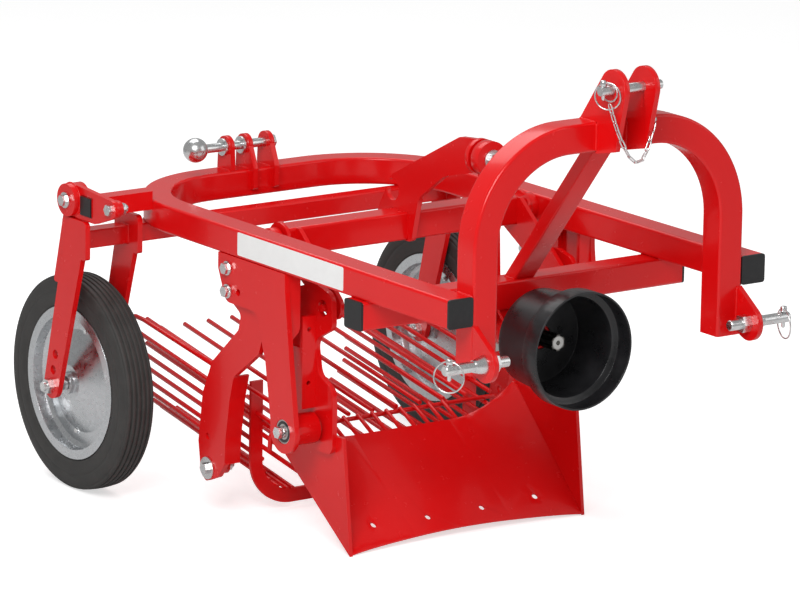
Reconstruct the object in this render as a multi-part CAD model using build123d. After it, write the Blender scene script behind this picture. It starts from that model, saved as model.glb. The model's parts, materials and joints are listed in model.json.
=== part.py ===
from build123d import *
from math import cos, hypot, pi, radians, sin, tan
import os

# Tractor-mounted potato digger: a bent tube frame with a hitch arch, a shaking share with a rod
# sieve under it, and two gauge wheels. X points right for a person who faces rearward, Y points
# rearward from the ends of the main rails and Z points up from the ground. The last step shifts
# everything so that the origin is the middle of the footprint. All sizes are in millimetres.

# ---------------------------------------------------------------- driving dimensions
# Main frame
frame_width = 800.0
frame_length = 1285.0
rail_top = 650.0
rail_size = 60.0
rail_corner = 6.0
rail_wall = 4.0
frame_bend = 265.0           # outer radius of the two rear bends
cap_thick = 5.0
cap_plug = 18.0
cap_clearance = 0.2          # each side, plug in its tube

# Front crossbar, welded under the rails
crossbar_setback = 274.0
crossbar_overhang = 8.0

# Hitch arch and its brace
arch_setback = -5.0
arch_top = 970.0
arch_foot = 488.0
arch_bend = 234.0
brace_width = 50.0
brace_depth = 30.0
brace_wall = 3.0

# Three-point linkage
link_plate_thick = 12.0
lower_pin_y = -42.0
lower_pin_z = 520.0
lower_pin_dia = 22.0
lower_pin_reach = 96.0       # shoulder side, out of its plate
lower_pin_stub = 60.0        # nut side, measured from the plate's outer face
shoulder_dia = 40.0
shoulder_length = 26.0
lower_nut_radius = 19.0
top_pin_y = -54.0
top_pin_z = 1044.0
top_pin_dia = 19.0
top_pin_length = 152.0
top_plate_radius = 41.0
top_plate_gap = 64.0
pin_clearance = 0.4          # on diameter, pins in their plates

# Hangers that carry the share, one under each rail
hanger_thick = 12.0
hanger_flange = 40.0
pivot_y = 567.0
pivot_z = 256.0
hanger_eye_radius = 46.0
housing_radius = 33.0
housing_length = 62.0
bearing_radius = 26.0
bearing_width = 15.0
bearing_recess = 2.0
pivot_dia = 25.0
bolt_dia = 14.0
bolt_head_radius = 12.5

# Side arms behind the hangers
side_arm_thick = 12.0
side_bolt_y = 862.0
side_bolt_z = 110.0
side_lip_width = 28.0
side_lip_thick = 8.0
hanger_washer_radius = 15.0
spacer_radius = 17.0
spacer_length = 34.0

# Rocker between the rails
rocker_y = 715.0
rocker_z = 622.0
rocker_size = 60.0
rocker_wall = 4.0
rocker_inset = 34.0          # rail's inner face to the end of the square tube
rocker_flange_radius = 38.0
rocker_flange_thick = 8.0
rocker_stub_dia = 30.0
rocker_ring_radius = 29.0
rocker_running_gap = 5.0     # flange to bearing ring
running_clearance = 0.1      # on diameter, shafts in their bores
rocker_arm_thick = 10.0
rocker_arm_inset = 20.0
rocker_arm_end_radius = 28.0
arm_pin_y = 548.0
arm_pin_z = 512.0
arm_pin_dia = 16.0
bush_radius = 27.0
bush_bore = 34.0             # the rubber bush lets the arm's pin float

# Drive line
shaft_z = 478.0
shaft_front = 162.0
spline_dia = 34.9
spline_root = 29.0
centre_hole_dia = 10.0
centre_hole_depth = 16.0
spline_length = 76.0
spline_width = 8.6
spline_count = 6
shaft_dia = 40.0
drive_tube_radius = 42.0
drive_tube_front = 226.0
drive_tube_rear = 356.0
crank_y = 372.0
crank_thick = 22.0
crank_radius = 62.0
crank_throw = 12.0
crank_pin_dia = 30.0
rod_gap = 6.0
rod_thick = 24.0
rod_eye_radius = 37.0
rod_width = 38.0
rod_washer_radius = 20.0
rod_washer_thick = 4.0
rod_head_radius = 14.0
rod_head_height = 12.0
lever_gap = 9.5              # rod eye to the lever's pad, for the lever's swing
lever_pad_thick = 12.0
lever_pad_z = 817.0
lever_pad_radius = 37.0
lever_thick = 12.0

# Guard round the shaft
guard_front = 76.0
guard_collar_radius = 123.0
guard_collar_length = 44.0
guard_body_radius = 109.0
guard_tail_radius = 99.0
guard_rear = 238.0
guard_wall = 4.0
guard_shaft_hole = 26.0

# Share and sieve
share_inset = 95.0            # rail's outer face to the outer face of the blade's walls
share_tip_y = 455.0
share_rear_y = 704.0
share_rear_z = 180.0
share_rise = 66.0            # how far the rear edge turns up beside the walls
share_flat_half = 125.0
share_recess = 20.0          # hollow of the front edge
share_edge = 3.0
share_thick = 8.0
wall_thick = 8.0
wall_top = 246.0
side_plate_thick = 12.0
shank_width = 33.0
shank_thick = 10.0
sieve_pitch = 62.0           # nearest that divides the floor evenly
floor_inset = 16.0           # hoop's outer edge to the outermost floor rod
cross_inset = 11.0           # blade's side to the end of the cross rod
sieve_y = 765.0
sieve_z = 207.0
sieve_slope = 9.8
sieve_reach = 543.0          # level length of the floor rods
rod_dia = 10.0
comb_pitch = 37.0
comb_count = 9
comb_dia = 9.0
comb_sink = 1.5              # how deep the comb's bars are welded into the cross rod
hoop_y = 838.0
hoop_thick = 8.0
hoop_inset = 10.0            # blade's side to the hoop's outer edge
hoop_band = 30.0
hoop_top = 290.0
hoop_bottom = 12.0
hoop_corner = 105.0
flank_top = 38.0             # first cage rod below the top of the hoop
flank_pitch = 27.0
bottom_inset = 4.0           # end of the hoop's round corner to the outermost bottom rod
cage_end_y = 1290.0
side_rod_z = 252.0
side_rod_slope = 8.8
side_rod_end = 1290.0

# Wheels
wheel_offset = 75.0           # rail's outer face to the wheel's middle
wheel_trail = 60.0           # beam's rear face to the axle
tyre_clearance = 20.0        # to the beam, if the tyre is large
tyre_radius = 235.0
tyre_width = 76.0
rim_radius = 167.0
rim_seat = 150.0
rim_width = 62.0
disc_sheet = 4.0
hub_radius = 24.0
hub_length = 88.0
hub_disc_x = 32.0
hub_play = 1.0
axle_dia = 20.0

# Wheel carrier
beam_setback = 166.0         # frame's rear to the beam's front face
beam_size = 40.0
beam_wall = 4.0
leg_thick = 12.0
outer_leg_reach = 80.0       # wheel's middle to the outer leg's outer face
inner_leg_reach = 63.0       # wheel's middle to the inner leg's inner face
leg_foot_radius = 28.0
leg_width = 76.0
leg_plate_ahead = 36.0       # of the beam's front face
leg_plate_behind = 16.0      # of the beam's rear face
leg_plate_bottom = 540.0
leg_plate_top = 617.0
spare_hole_pitch = 36.0
spare_holes = 2
leg_nut_radius = 17.0
leg_nut_height = 14.0

# Link over the left-hand wheel carrier
boss_behind = 31.0           # the beam's front face
boss_z = 655.0
boss_radius = 35.0
boss_length = 40.0
boss_washer_radius = 17.0
link_bolt_ahead = 121.0      # of the beam's front face
link_bolt_z = 660.0
link_thick = 12.0
link_height = 64.0
link_inset = 13.0            # outer leg's outer face to the middle of the plate
link_window = 44.0
link_strip_bottom = 462.0
link_strip_width = 60.0
link_strip_lean = 48.0
stub_size = 40.0
stub_wall = 4.0
stub_ahead = 29.0            # of the beam's front face
stub_z = 650.0

# Rear lugs on the back tube
lug_thick = 12.0
lug_radius = 24.0
lug_pin_height = 50.0
lug_pin_dia = 20.0
lug_ball_radius = 27.0
lug_x = (-84.0, -36.0, 20.0)
lug_apron = 14.0             # how far the two longer lugs stand in front of the tube
lug_apron_foot = 606.0
lug_collar_radius = 19.0
lug_collar_length = 8.0
lug_nut_radius = 16.0
lug_nut_height = 12.0
ball_x = -165.0

# ---------------------------------------------------------------- worked-out places
rail_outer = frame_width / 2
rail_inner = rail_outer - rail_size
rail_mid = rail_outer - rail_size / 2
rail_bottom = rail_top - rail_size
share_half = rail_outer - share_inset
hoop_half = share_half - hoop_inset
rocker_half = rail_inner - rocker_inset
rocker_arm_x = rocker_half - rocker_arm_inset
wheel_x = rail_outer + wheel_offset
outer_leg_x = wheel_x + outer_leg_reach
inner_leg_x = wheel_x - inner_leg_reach
beam_y = frame_length - beam_setback
beam_drop = rail_bottom - beam_size - tyre_radius
tyre_reach = max((tyre_radius + tyre_clearance) ** 2 - beam_drop**2, 0) ** 0.5
wheel_y = beam_y + beam_size + max(wheel_trail, tyre_reach)
leg_plate_front = beam_y - leg_plate_ahead
leg_plate_rear = beam_y + beam_size + leg_plate_behind
boss_y = beam_y + boss_behind
link_bolt_y = beam_y - link_bolt_ahead
link_x = outer_leg_x - link_inset
stub_y = beam_y - stub_ahead
rail_z = rail_top - rail_size / 2
arch_mid_y = arch_setback + rail_size / 2
arch_rear = arch_setback + rail_size
arch_mid_x = rail_inner - rail_size / 2
arch_mid_z = arch_top - rail_size / 2
crossbar_mid_y = crossbar_setback + rail_size / 2
crossbar_z = rail_bottom - rail_size / 2
crossbar_bottom = rail_bottom - rail_size
crossbar_half = rail_outer + crossbar_overhang
sides = {"left": -1, "right": 1}
pieces = {}


# ---------------------------------------------------------------- shared forms
def square_section(plane, size, wall, corner):
    """Outer and inner outline of a square tube."""
    inner = size - 2 * wall
    return plane * RectangleRounded(size, size, corner), plane * RectangleRounded(inner, inner, corner / 3)


def bent_tube(path, plane, size, wall, corner):
    """Square tube swept along a path of straight runs and arcs."""
    outer, inner = square_section(plane, size, wall, corner)
    return sweep(outer, path=path) - sweep(inner, path=path)


def straight_tube(start, end, width, depth, wall, corner, x_dir):
    """Rectangular tube between two points."""
    run = Vector(*end) - Vector(*start)
    plane = Plane(start, x_dir=x_dir, z_dir=run)
    outer = extrude(plane * RectangleRounded(width, depth, corner), run.length, dir=run.normalized())
    bore = plane * RectangleRounded(width - 2 * wall, depth - 2 * wall, corner / 3)
    return outer - extrude(bore, run.length, dir=run.normalized())


def across(x, y, z, radius, length):
    """Cylinder along X, centred on a point."""
    return Pos(x, y, z) * Rot(0, 90, 0) * Cylinder(radius, length)


def along(y, radius, length, x=0.0, z=shaft_z):
    """Cylinder along Y, centred on y."""
    return Pos(x, y, z) * Rot(90, 0, 0) * Cylinder(radius, length)


def side_plate(profile, x, thick):
    """Flat plate in a Y-Z plane, centred on x. Its profile has Y across and Z up."""
    plane = Plane((x - thick / 2, 0, 0), x_dir=(0, 1, 0), z_dir=(1, 0, 0))
    return extrude(plane * profile, thick, dir=(1, 0, 0))


def cross_plate(profile, y, thick):
    """Flat plate in an X-Z plane, from y rearward. Its profile has X across and Z up."""
    plane = Plane((0, y, 0), x_dir=(1, 0, 0), z_dir=(0, -1, 0))
    return extrude(plane * profile, thick, dir=(0, 1, 0))


def hull_of(*faces):
    """Convex outline round some faces."""
    return make_hull([edge for face in faces for edge in face.edges()])


def outline(corners):
    """Closed face from a table of (across, up, corner radius)."""
    face = make_face(Polyline([(u, v) for u, v, _ in corners], close=True))
    for u, v, radius in corners:
        if radius:
            nearest = min(face.vertices(), key=lambda p: hypot(p.X - u, p.Y - v))
            face = fillet(nearest, radius)
    return face


def hexagon(x, y, z, radius, height, side):
    """Hexagonal head or nut whose axis is X, standing on x and reaching out to one side."""
    plane = Plane((x, y, z), x_dir=(0, 1, 0), z_dir=(side, 0, 0))
    return extrude(plane * RegularPolygon(radius, 6), height, dir=(side, 0, 0))


def cross_bolt(outer_x, inner_x, y, z, side, washer=0.0):
    """Bolt along X through plates between two faces, with a head outside and a nut inside."""
    head, nut, tail = 9.0, 11.0, 6.0
    washer_thick = 4.0 if washer else 0.0
    start = side * (inner_x - nut - tail)
    end = side * (outer_x + washer_thick)
    bolt = across((start + end) / 2, y, z, bolt_dia / 2, abs(end - start))
    bolt += hexagon(end, y, z, bolt_head_radius, head, side)
    bolt += hexagon(side * inner_x, y, z, bolt_head_radius, nut, -side)
    if washer:
        bolt += across(side * (outer_x + washer_thick / 2), y, z, washer, washer_thick)
    return bolt


def spun(points, y, z):
    """Solid turned about an X axis from a closed table of (x, radius)."""
    plane = Plane((0, y, z), x_dir=(1, 0, 0), z_dir=(0, -1, 0))
    profile = plane * make_face(Polyline(points, close=True))
    return revolve(profile, axis=Axis((0, y, z), (1, 0, 0)), revolution_arc=360)


def straight_rod(start, end, diameter):
    """Round bar between two points."""
    run = Vector(*end) - Vector(*start)
    return extrude(Plane(start, z_dir=run) * Circle(diameter / 2), run.length, dir=run.normalized())


def bent_rod(points, radius, diameter):
    """Round bar along straight runs joined by bends."""
    path = FilletPolyline(*points, radius=radius)
    start = Plane(path @ 0, z_dir=path % 0)
    return sweep(start * Circle(diameter / 2), path=path)


# ---------------------------------------------------------------- main frame
rear_mid = frame_length - rail_size / 2
frame_path = FilletPolyline(
    (-rail_mid, 0, rail_z),
    (-rail_mid, rear_mid, rail_z),
    (rail_mid, rear_mid, rail_z),
    (rail_mid, 0, rail_z),
    radius=frame_bend - rail_size / 2,
)
frame_start = Plane((-rail_mid, 0, rail_z), x_dir=(1, 0, 0), z_dir=(0, 1, 0))
pieces["main_frame"] = bent_tube(frame_path, frame_start, rail_size, rail_wall, rail_corner)


def tube_cap(plane):
    """Plastic cap: a flat head outside the tube and a plug inside it."""
    plug_size = rail_size - 2 * rail_wall - 2 * cap_clearance
    outward = plane.z_dir
    head = extrude(plane * RectangleRounded(rail_size, rail_size, rail_corner), cap_thick, dir=outward)
    plug = extrude(plane * RectangleRounded(plug_size, plug_size, rail_corner / 3), cap_plug, dir=-outward)
    return head + plug


pieces["rail_end_caps"] = [
    tube_cap(Plane((side * rail_mid, 0, rail_z), x_dir=(1, 0, 0), z_dir=(0, -1, 0)))
    for side in sides.values()
]

# ---------------------------------------------------------------- front crossbar
pieces["front_crossbar"] = straight_tube(
    (-crossbar_half, crossbar_mid_y, crossbar_z),
    (crossbar_half, crossbar_mid_y, crossbar_z),
    rail_size, rail_size, rail_wall, rail_corner, (0, 1, 0),
)
pieces["crossbar_caps"] = [
    tube_cap(Plane((side * crossbar_half, crossbar_mid_y, crossbar_z), x_dir=(0, 1, 0), z_dir=(side, 0, 0)))
    for side in sides.values()
]

# ---------------------------------------------------------------- hitch arch and brace
arch_path = FilletPolyline(
    (-arch_mid_x, arch_mid_y, arch_foot),
    (-arch_mid_x, arch_mid_y, arch_mid_z),
    (arch_mid_x, arch_mid_y, arch_mid_z),
    (arch_mid_x, arch_mid_y, arch_foot),
    radius=arch_bend - rail_size / 2,
)
arch_start = Plane((-arch_mid_x, arch_mid_y, arch_foot), x_dir=(1, 0, 0), z_dir=(0, 0, 1))
arch = bent_tube(arch_path, arch_start, rail_size, rail_wall, rail_corner)
foot_size = rail_size - rail_wall
for side in sides.values():
    foot = Box(foot_size, foot_size, rail_wall)
    arch += Pos(side * arch_mid_x, arch_mid_y, arch_foot + rail_wall / 2) * foot
pieces["hitch_arch"] = arch

arch_block = Pos(0, arch_mid_y, arch_mid_z) * Box(rail_size * 4, rail_size, rail_size)
crossbar_block = Pos(0, crossbar_mid_y, crossbar_z) * Box(rail_size * 4, rail_size, rail_size)
brace = straight_tube(
    (0, arch_rear - brace_depth / 2, arch_top - rail_size),
    (0, crossbar_mid_y, rail_bottom - rail_corner),
    brace_width, brace_depth, brace_wall, 3.0, (1, 0, 0),
)
pieces["mast_brace"] = brace - arch_block - crossbar_block

# ---------------------------------------------------------------- lower links
lower_plate_radius = arch_setback - lower_pin_y
leg_seat = make_face(Polyline(
    (arch_setback - 1, arch_foot + 8), (arch_setback, arch_foot + 8),
    (arch_setback, rail_bottom), (arch_setback - 1, rail_bottom), close=True,
))
lower_plate = hull_of(Pos(lower_pin_y, lower_pin_z) * Circle(lower_plate_radius), leg_seat)
pieces["lower_link_plates"] = []
for name, side in sides.items():
    plate_x = side * (rail_inner - link_plate_thick / 2)
    hole = across(
        plate_x, lower_pin_y, lower_pin_z, (lower_pin_dia + pin_clearance) / 2, link_plate_thick * 2
    )
    pieces["lower_link_plates"].append(side_plate(lower_plate, plate_x, link_plate_thick) - hole)
    pin_mid = side * (rail_inner + (lower_pin_reach - lower_pin_stub) / 2)
    pin = across(pin_mid, lower_pin_y, lower_pin_z, lower_pin_dia / 2, lower_pin_reach + lower_pin_stub)
    pin = chamfer(pin.faces().sort_by(Axis.X)[0].edges() + pin.faces().sort_by(Axis.X)[-1].edges(), 2.0)
    shoulder = Pos(side * (rail_inner + shoulder_length / 2), lower_pin_y, lower_pin_z) * Rot(0, 90 * side, 0)
    pin += shoulder * Cone(shoulder_dia / 2, lower_pin_dia / 2 + 1.5, shoulder_length)
    pin += hexagon(
        side * (rail_inner - link_plate_thick), lower_pin_y, lower_pin_z, lower_nut_radius, 20.0, -side
    )
    pieces["lower_link_pin_" + name] = pin

# ---------------------------------------------------------------- top link
top_plate = hull_of(
    Pos(top_pin_y, top_pin_z) * Circle(top_plate_radius),
    make_face(Polyline(
        (arch_setback - 62, arch_top - 50), (arch_setback, arch_top - rail_size - 4),
        (arch_rear - 4, arch_top - 4), (arch_rear - 4, arch_top), close=True,
    )),
)
pieces["top_link_plates"] = []
for side in sides.values():
    plate_x = side * (top_plate_gap + link_plate_thick) / 2
    hole = across(plate_x, top_pin_y, top_pin_z, (top_pin_dia + pin_clearance) / 2, link_plate_thick * 2)
    pieces["top_link_plates"].append(side_plate(top_plate, plate_x, link_plate_thick) - arch_block - hole)
top_pin = across(0, top_pin_y, top_pin_z, top_pin_dia / 2, top_pin_length)
pin_head_x = top_plate_gap / 2 + link_plate_thick + 4.0
pieces["top_link_pin"] = top_pin + across(pin_head_x, top_pin_y, top_pin_z, top_pin_dia * 0.75, 6.0)

# ---------------------------------------------------------------- hangers and share bearings
hanger_outline = outline([
    # Y, Z, corner radius
    (812, rail_bottom, 0), (812, 556, 20), (782, 489, 22), (669, 489, 22), (634, 394, 0),
    (pivot_y + 44, pivot_z + 8, 0), (pivot_y, pivot_z, 0), (pivot_y - 44, pivot_z + 8, 0),
    (546, 414, 0), (564, 551, 0), (566, rail_bottom, 0),
]) + Pos(pivot_y, pivot_z) * Circle(hanger_eye_radius)
hanger_bolts = [(775, 562), (774, 513)]
spare_hole = (736, 517)
flange_front = 566.0
flange_outer = rail_outer - hanger_thick
flange_inner = rail_outer - hanger_flange
housing_end = rail_outer - hanger_thick - housing_length
for name, side in sides.items():
    hanger = side_plate(hanger_outline, side * (rail_outer - hanger_thick / 2), hanger_thick)
    flange_outline = outline([
        # X, Z, corner radius
        (side * flange_outer, rail_bottom, 0), (side * flange_inner, rail_bottom, 0),
        (side * flange_inner, rail_bottom - 125, 24), (side * flange_outer, rail_bottom - 150, 0),
    ])
    hanger += cross_plate(flange_outline, flange_front, hanger_thick - 2)
    hanger += across(
        side * (housing_end + housing_length / 2), pivot_y, pivot_z, housing_radius, housing_length
    )
    for y, z in hanger_bolts + [spare_hole]:
        hanger -= across(side * rail_outer, y, z, (bolt_dia + pin_clearance) / 2, hanger_thick * 3)
    hanger -= across(side * rail_outer, pivot_y, pivot_z, pivot_dia / 2 + 4, 3 * housing_length)
    seat = bearing_width + bearing_recess
    hanger -= across(side * (rail_outer - seat / 2), pivot_y, pivot_z, bearing_radius, seat)
    hanger -= across(side * (housing_end + seat / 2), pivot_y, pivot_z, bearing_radius, seat)
    pieces["hanger_" + name] = hanger

pieces["share_bearings"] = []
for side in sides.values():
    for face, inward in ((rail_outer, -1), (housing_end, 1)):
        mid = side * (face + inward * (bearing_recess + bearing_width / 2))
        ring = across(mid, pivot_y, pivot_z, bearing_radius, bearing_width)
        pieces["share_bearings"].append(
            ring - across(mid, pivot_y, pivot_z, (pivot_dia + running_clearance) / 2, bearing_width * 2)
        )

# ---------------------------------------------------------------- side arms
side_arm_outline = outline([
    # Y, Z, corner radius
    (800, 584, 10), (800, 500, 20), (742, 468, 14), (752, 432, 14), (850, 344, 20), (884, 270, 20),
    (899, 162, 10), (888, 92, 14), (868, 80, 10), (824, 98, 14), (800, 130, 10), (796, 190, 0),
    (782, 276, 10), (768, 328, 14), (676, 396, 20), (660, 440, 20), (664, 584, 10),
])
side_lip_edge = [(768, 328), (782, 276), (796, 190), (800, 130)]
side_lip_outline = make_face(Polyline(
    *side_lip_edge, *[(y + side_lip_thick, z) for y, z in reversed(side_lip_edge)], close=True,
))
arm_outer = rail_outer - hanger_thick
arm_inner = arm_outer - side_arm_thick
pieces["side_arm_bolts"] = []
for name, side in sides.items():
    arm = side_plate(side_arm_outline, side * (arm_outer - side_arm_thick / 2), side_arm_thick)
    for y, z in hanger_bolts + [(863, 179), (side_bolt_y, side_bolt_z)]:
        arm -= across(side * arm_outer, y, z, (bolt_dia + pin_clearance) / 2, side_arm_thick * 3)
    spacer = across(
        side * (arm_inner - spacer_length / 2), side_bolt_y, side_bolt_z, spacer_radius, spacer_length
    )
    spacer -= across(
        side * arm_inner, side_bolt_y, side_bolt_z, (bolt_dia + pin_clearance) / 2, spacer_length * 3
    )
    lip = side_plate(side_lip_outline, side * (arm_inner - side_lip_width / 2), side_lip_width)
    pieces["side_arm_" + name] = arm + spacer + lip
    for y, z in hanger_bolts:
        pieces["side_arm_bolts"].append(
            cross_bolt(rail_outer, arm_inner, y, z, side, washer=hanger_washer_radius)
        )
    pieces["side_arm_bolts"].append(
        cross_bolt(arm_outer, arm_inner - spacer_length, side_bolt_y, side_bolt_z, side, washer=24.0)
    )

# ---------------------------------------------------------------- rocker
flange_end = rocker_half + rocker_flange_thick
ring_inner = flange_end + rocker_running_gap
ring_length = rail_inner - ring_inner
pieces["rocker_bearings"] = []
for side in sides.values():
    ring_mid = side * (rail_inner - ring_length / 2)
    ring = across(ring_mid, rocker_y, rocker_z, rocker_ring_radius, ring_length)
    bore = across(ring_mid, rocker_y, rocker_z, (rocker_stub_dia + running_clearance) / 2, ring_length * 2)
    pieces["rocker_bearings"].append(ring - bore)

rocker = straight_tube(
    (-rocker_half, rocker_y, rocker_z), (rocker_half, rocker_y, rocker_z),
    rocker_size, rocker_size, rocker_wall, rail_corner, (0, 1, 0),
)
for side in sides.values():
    rocker += across(
        side * (rocker_half + rocker_flange_thick / 2), rocker_y, rocker_z,
        rocker_flange_radius, rocker_flange_thick,
    )
    stub_length = rail_inner - flange_end - 1.0
    rocker += across(
        side * (flange_end + stub_length / 2), rocker_y, rocker_z, rocker_stub_dia / 2, stub_length
    )
pieces["rocker_tube"] = rocker

tube_block = Pos(0, rocker_y, rocker_z) * Box(2 * frame_width, rocker_size, rocker_size)
rod_front = crank_y + crank_thick + rod_gap
pad_front = rod_front + rod_thick + lever_gap
pad_rear = pad_front + lever_pad_thick
lever_outline = outline([
    # Y, Z, corner radius
    (800, 590, 12), (794, 640, 30), (748, 722, 30), (506, 846, 30), (pad_rear, 852, 0),
    (pad_rear, 782, 0), (560, 752, 60), (648, 690, 50), (672, 590, 12),
])
lever = side_plate(lever_outline, 0, lever_thick) - across(0, 742, 691, 23, lever_thick * 2)
pad = cross_plate(Pos(0, lever_pad_z) * Circle(lever_pad_radius), pad_front, lever_pad_thick)
pieces["drive_lever"] = (lever - tube_block) + pad

arm_outline = hull_of(
    Pos(rocker_y, rocker_z) * Rectangle(rocker_size + 16, rocker_size),
    Pos(arm_pin_y, arm_pin_z) * Circle(rocker_arm_end_radius),
)
pin_reach = share_half + side_plate_thick + 3.0
pieces["rocker_arms"] = []
for side in sides.values():
    arm = side_plate(arm_outline, side * rocker_arm_x, rocker_arm_thick) - tube_block
    inner_end = rocker_arm_x - rocker_arm_thick / 2 - 10.0
    arm += across(
        side * (inner_end + pin_reach) / 2, arm_pin_y, arm_pin_z, arm_pin_dia / 2, pin_reach - inner_end
    )
    arm += hexagon(
        side * (rocker_arm_x - rocker_arm_thick / 2), arm_pin_y, arm_pin_z, bolt_head_radius, 10.0, -side
    )
    pieces["rocker_arms"].append(arm)

# ---------------------------------------------------------------- drive line
tube_mid = (drive_tube_front + drive_tube_rear) / 2
tube_length = drive_tube_rear - drive_tube_front
saddle_outline = outline([
    # X, Z, corner radius
    (-64, crossbar_bottom, 0), (64, crossbar_bottom, 0), (38, shaft_z + 8, 0), (-38, shaft_z + 8, 0),
])
drive_housing = along(tube_mid, drive_tube_radius, tube_length)
for saddle_y in (crossbar_setback + 6, crossbar_setback + rail_size - 16):
    drive_housing += cross_plate(saddle_outline, saddle_y, 10.0)
shaft_bore = along(tube_mid, (shaft_dia + running_clearance) / 2, tube_length * 2)
pieces["drive_housing"] = drive_housing - shaft_bore

guard_profile = [
    # Y, radius: the outside from the mouth to the tail, then the inside back to the mouth
    (guard_front, guard_collar_radius),
    (guard_front + guard_collar_length, guard_collar_radius),
    (guard_front + guard_collar_length + guard_wall, guard_body_radius),
    (guard_rear - 8, guard_tail_radius + 2),
    (guard_rear, guard_tail_radius - 6),
    (guard_rear, drive_tube_radius),
    (drive_tube_front, drive_tube_radius),
    (drive_tube_front, guard_shaft_hole),
    (drive_tube_front - guard_wall, guard_shaft_hole),
    (drive_tube_front - guard_wall, guard_tail_radius - guard_wall + 1),
    (guard_front + guard_collar_length, guard_body_radius - guard_wall),
    (guard_front + guard_collar_length - guard_wall, guard_collar_radius - guard_wall),
    (guard_front, guard_collar_radius - guard_wall),
]
guard_plane = Plane((0, 0, shaft_z), x_dir=(0, 1, 0), z_dir=(1, 0, 0))
pieces["shaft_guard"] = revolve(
    guard_plane * make_face(Polyline(guard_profile, close=True)),
    axis=Axis((0, 0, shaft_z), (0, 1, 0)), revolution_arc=360,
)

spline_mid = shaft_front + spline_length / 2
spline = along(spline_mid, spline_root / 2, spline_length)
for tooth in range(spline_count):
    key = Pos(0, 0, spline_dia / 4) * Box(spline_width, spline_length, spline_dia / 2)
    spline += Pos(0, spline_mid, shaft_z) * Rot(0, tooth * 360 / spline_count, 0) * key
spline = spline & along(spline_mid, spline_dia / 2, spline_length)
spline -= along(shaft_front, centre_hole_dia / 2, 2 * centre_hole_depth)
shaft_body_front = shaft_front + spline_length
pieces["drive_shaft"] = spline + along(
    (shaft_body_front + crank_y) / 2, shaft_dia / 2, crank_y - shaft_body_front
)

rod_mid = rod_front + rod_thick / 2
pin_length = rod_gap + rod_thick + 2.0
crank = along(crank_y + crank_thick / 2, crank_radius, crank_thick)
crank += along(crank_y + crank_thick + pin_length / 2, crank_pin_dia / 2, pin_length, crank_throw)
crank += along(crank_y + crank_thick + pin_length + 2.0, crank_pin_dia / 2 + 8, 4.0, crank_throw)
pieces["crank"] = crank

low_eye = Pos(crank_throw, shaft_z) * Circle(rod_eye_radius)
high_eye = Pos(0, lever_pad_z) * Circle(rod_eye_radius)
strap = hull_of(
    Pos(crank_throw, shaft_z) * Circle(rod_width / 2),
    Pos(0, lever_pad_z) * Circle(rod_width / 2),
)
rod = cross_plate(low_eye + strap + high_eye, rod_front, rod_thick)
rod -= along(rod_mid, (crank_pin_dia + running_clearance) / 2, rod_thick * 2, crank_throw)
pieces["drive_rod"] = rod
rod_bolt = along(rod_front - rod_washer_thick / 2, rod_washer_radius, rod_washer_thick, z=lever_pad_z)
head_plane = Plane((0, rod_front - rod_washer_thick, lever_pad_z), x_dir=(1, 0, 0), z_dir=(0, -1, 0))
rod_bolt += extrude(head_plane * RegularPolygon(rod_head_radius, 6), rod_head_height, dir=(0, -1, 0))
pieces["rod_bolt"] = rod_bolt

# ---------------------------------------------------------------- share
blade_half = share_half - wall_thick
share_slope = (share_rear_z - share_thick) / (share_rear_y - share_tip_y)


def trough(y, z, rise, thick):
    """Section of the blade at y: flat in the middle and curved up to both walls."""
    lower = [(-blade_half, z + rise), (-share_flat_half, z), (share_flat_half, z), (blade_half, z + rise)]
    upper = [(u, v + thick) for u, v in lower]
    section = [
        TangentArc(lower[1], lower[0], tangent=(-1, 0)),
        Line(lower[1], lower[2]),
        TangentArc(lower[2], lower[3], tangent=(1, 0)),
        Line(lower[3], upper[3]),
        TangentArc(upper[2], upper[3], tangent=(1, 0)),
        Line(upper[2], upper[1]),
        TangentArc(upper[1], upper[0], tangent=(-1, 0)),
        Line(upper[0], lower[0]),
    ]
    plane = Plane((0, y, 0), x_dir=(1, 0, 0), z_dir=(0, -1, 0))
    return plane * make_face(section)


def blade_solid(front_thick, rear_thick):
    """Blade between its front and rear sections."""
    front = trough(share_tip_y, 0, 2.0, front_thick)
    rear = trough(share_rear_y, share_rear_z - share_thick, share_rise, rear_thick)
    return loft([front, rear], ruled=True)


hollow_radius = (blade_half**2 + share_recess**2) / (2 * share_recess)
hollow_y = share_tip_y + share_recess - hollow_radius
share_blade = blade_solid(share_edge, share_thick)
share_blade -= Pos(0, hollow_y, 0) * Cylinder(hollow_radius, 400)
for hole_x in (-210, -70, 70, 210):
    share_blade -= Pos(hole_x, share_tip_y + 52, 0) * Cylinder(6, 400)
pieces["share_blade"] = share_blade

wall_outline = outline([
    # Y, Z, corner radius
    (share_tip_y, 0, 0), (486, wall_top, 0), (share_rear_y, wall_top, 0),
    (share_rear_y, share_rear_z - share_thick, 0),
])
side_outline = outline([
    # Y, Z, corner radius
    (507, 206, 20), (507, 345, 30), (560, 368, 30), (575, 440, 30), (512, 474, 20), (516, 545, 26),
    (580, 560, 30), (650, 536, 30), (676, 470, 30), (668, 340, 20), (700, 250, 20), (690, 206, 0),
])
for name, side in sides.items():
    wall_x = side * (share_half - wall_thick / 2)
    plate_x = side * (share_half + side_plate_thick / 2)
    piece = side_plate(wall_outline, wall_x, wall_thick) + side_plate(side_outline, plate_x, side_plate_thick)
    piece -= across(plate_x, arm_pin_y, arm_pin_z, bush_bore / 2, side_plate_thick * 2)
    pieces["share_side_" + name] = piece

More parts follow.
